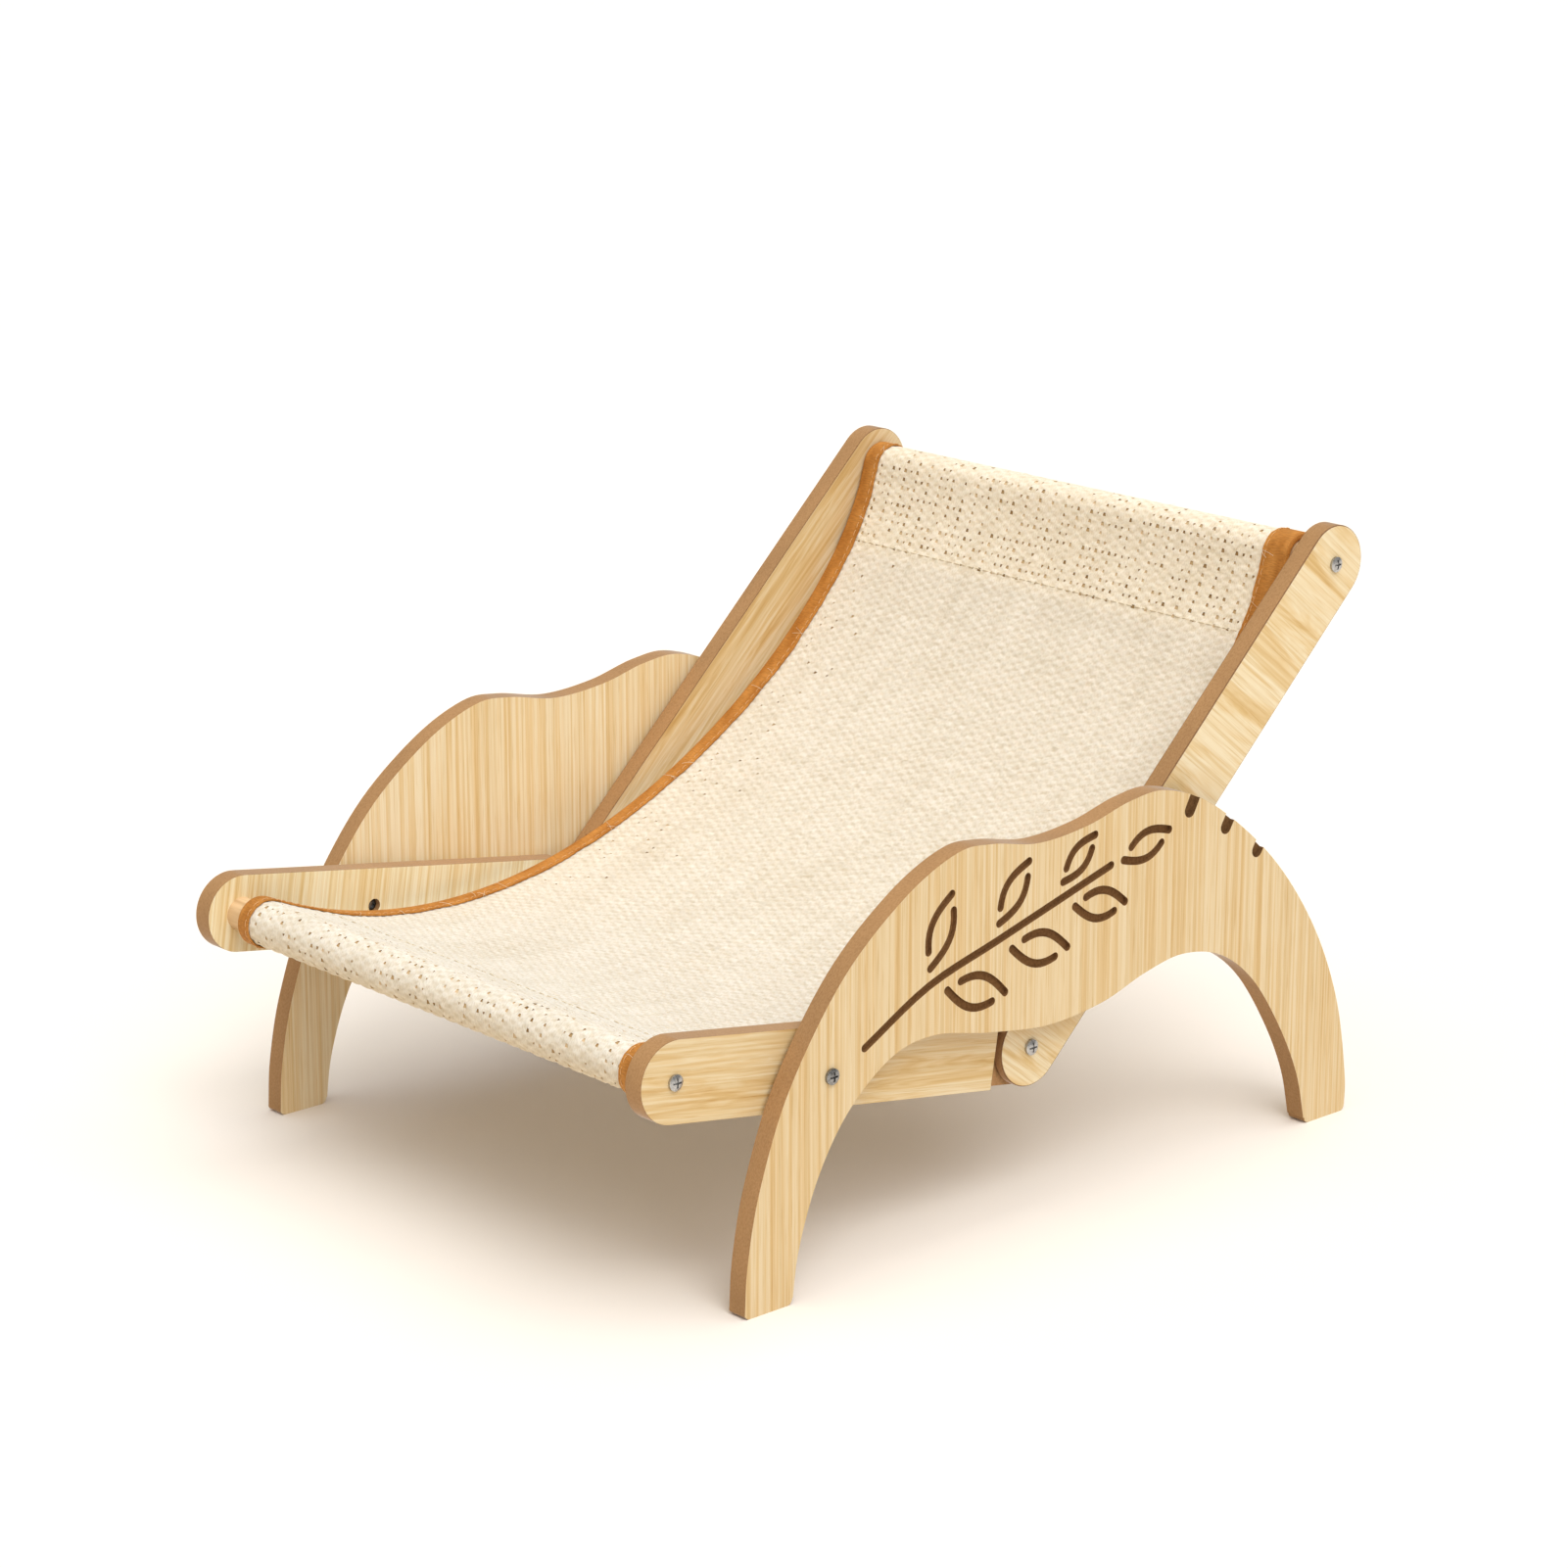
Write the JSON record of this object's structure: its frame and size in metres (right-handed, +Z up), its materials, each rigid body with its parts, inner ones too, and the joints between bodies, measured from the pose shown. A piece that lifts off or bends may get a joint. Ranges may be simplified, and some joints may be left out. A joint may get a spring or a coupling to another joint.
{
  "type": "cat hammock",
  "caption": "Low reclining pet lounger: a woven sisal sling on a hinged seat and backrest frame between arched wooden side panels.",
  "frame": {"origin": "on the floor, under the middle of the part's overall box", "axes": "+X to the sitter's left across the width, which is the right-hand side seen from the front; +Y from front to back; +Z up"},
  "size_m": [0.3544, 0.449, 0.2899],
  "materials": {
    "board": "pale wood-grain laminate on fibreboard, brown cut edges",
    "dowel": "plain sanded dowel",
    "sisal": "open plain weave of cream sisal",
    "tape": "orange-brown woven binding tape",
    "steel": "bright zinc plate",
    "nylon": "natural nylon"
  },
  "bodies": {
    "stand": {"side_panel_right": "board", "side_panel_left": "board", "support_rod": "dowel"},
    "seat_frame": {"seat_rail_right": "board", "seat_rail_left": "board", "front_dowel": "dowel", "front_dowel_screws": "steel", "pivot_bolts": "steel", "pivot_inserts": "steel", "pivot_washers": "nylon", "hinge_bolts": "steel", "hinge_nuts": "steel", "hinge_washers": "nylon", "sling": "sisal", "binding_right": "tape", "binding_left": "tape"},
    "backrest": {"back_rail_right": "board", "back_rail_left": "board", "top_dowel": "dowel", "top_dowel_screws": "steel"}
  },
  "joints": [
    {"name": "seat_pivot", "type": "hinge", "parent": "stand", "child": "seat_frame", "pos_m": [0, -0.12812, 0.0994], "axis": [1, 0, 0], "range_deg": [0, 60]},
    {"name": "back_hinge", "type": "hinge", "parent": "seat_frame", "child": "backrest", "pos_m": [0, 0.00663, 0.07758], "axis": [1, 0, 0], "range_deg": [0, 40], "deforming": ["sling", "binding_right", "binding_left"]}
  ]
}
